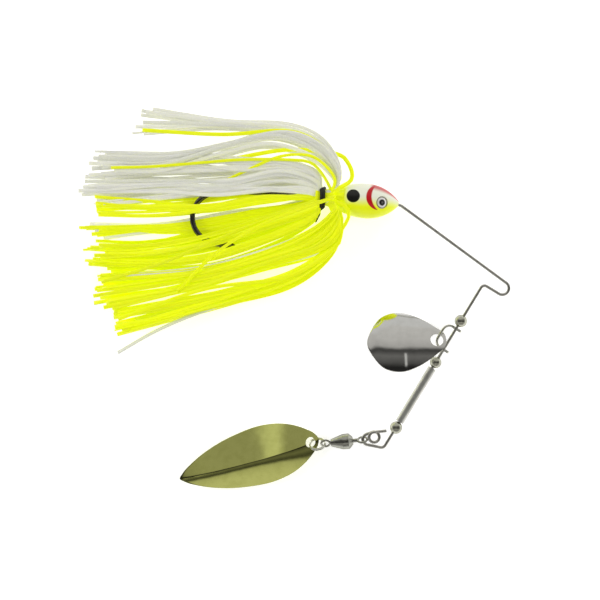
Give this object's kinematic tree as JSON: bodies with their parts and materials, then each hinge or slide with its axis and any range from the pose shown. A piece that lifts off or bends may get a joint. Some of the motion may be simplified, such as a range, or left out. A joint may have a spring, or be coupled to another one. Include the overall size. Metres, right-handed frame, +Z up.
{
  "type": "spinnerbait",
  "caption": "Fishing lure with a bullet head on a bent wire, a long hook under a fringed silicone skirt, and two swinging spinner blades on the wire's arm.",
  "frame": {"origin": "centre of the bounding box in plan, at the level that the lowest point of the lure lies on", "axes": "+X from the hook's bend towards the line tie, +Y across from the blades to the skirt's upper side, +Z up out of the plane of the wire form"},
  "size_m": [0.1364, 0.1228, 0.0114],
  "materials": {
    "head_paint": "glossy enamel over lead, white above and chartreuse below",
    "eye": "silver foil iris, black pupil, clear dome",
    "hook_metal": "black-nickel plated wire",
    "wire_metal": "bright drawn stainless wire",
    "skirt_white": "pearl white silicone",
    "skirt_chartreuse": "chartreuse silicone",
    "band_rubber": "matt black rubber",
    "bead_metal": "polished nickel",
    "clevis_metal": "polished nickel",
    "colorado_plate": "nickel plate",
    "swivel_metal": "polished nickel",
    "willow_plate": "pale gold plate"
  },
  "bodies": {
    "frame": {"lead_head": "head_paint", "eye_left": "eye", "eye_right": "eye", "hook": "hook_metal", "wire_form": "wire_metal", "skirt_gather": "skirt_white", "skirt_band": "band_rubber", "skirt_white_top": "skirt_white", "skirt_white_bottom": "skirt_white", "skirt_chartreuse_top": "skirt_chartreuse", "skirt_chartreuse_bottom": "skirt_chartreuse"},
    "bead_carrier": {"bead_bottom": "bead_metal"},
    "tube": {"spacer_tube": "bead_metal"},
    "middle_bead": {"bead_middle": "bead_metal"},
    "clevis": {"clevis": "clevis_metal"},
    "top_bead": {"bead_top": "bead_metal"},
    "colorado": {"colorado_blade": "colorado_plate"},
    "rotor": {"swivel_rotor": "swivel_metal"},
    "barrel": {"swivel_barrel": "swivel_metal", "swivel_balls": "swivel_metal", "swivel_fixed_eye": "swivel_metal"},
    "ring": {"split_ring": "swivel_metal"},
    "willow": {"willow_blade": "willow_plate"}
  },
  "joints": [
    {"name": "stack_slide", "type": "slide", "parent": "frame", "child": "bead_carrier", "axis": [0.5195, 0.8545, 0], "range_m": [0, 0.0095]},
    {"name": "tube_spin", "type": "hinge", "parent": "bead_carrier", "child": "tube", "pos_m": [0.03805, -0.03112, 0.0057], "axis": [-0.5195, -0.8545, 0], "continuous": true},
    {"name": "middle_bead_spin", "type": "hinge", "parent": "bead_carrier", "child": "middle_bead", "pos_m": [0.04429, -0.02087, 0.0057], "axis": [-0.5195, -0.8545, 0], "continuous": true},
    {"name": "clevis_spin", "type": "hinge", "parent": "bead_carrier", "child": "clevis", "pos_m": [0.04881, -0.01344, 0.0057], "axis": [0.5195, 0.8545, 0], "continuous": true},
    {"name": "top_bead_spin", "type": "hinge", "parent": "bead_carrier", "child": "top_bead", "pos_m": [0.05234, -0.00763, 0.0057], "axis": [-0.5195, -0.8545, 0], "continuous": true},
    {"name": "colorado_swing", "type": "hinge", "parent": "clevis", "child": "colorado", "pos_m": [0.04459, -0.01368, 0.00697], "axis": [-0.1859, -0.9744, -0.1264], "range_deg": [-8, 25]},
    {"name": "rotor_swing", "type": "hinge", "parent": "frame", "child": "rotor", "pos_m": [0.02099, -0.04561, 0.0057], "axis": [-0.0645, 0.9979, 0], "range_deg": [-45, 45]},
    {"name": "swivel_spin", "type": "hinge", "parent": "rotor", "child": "barrel", "pos_m": [0.02089, -0.04562, 0.00569], "axis": [-0.9907, -0.1041, -0.0872], "continuous": true},
    {"name": "ring_swing", "type": "hinge", "parent": "barrel", "child": "ring", "pos_m": [0.0091, -0.04686, 0.00465], "axis": [-0.0087, -0.5919, 0.8059], "range_deg": [-30, 30]},
    {"name": "willow_swing", "type": "hinge", "parent": "ring", "child": "willow", "pos_m": [0.00412, -0.04617, 0.00325], "axis": [-0.5348, -0.5565, 0.6358], "range_deg": [-10, 30]}
  ]
}
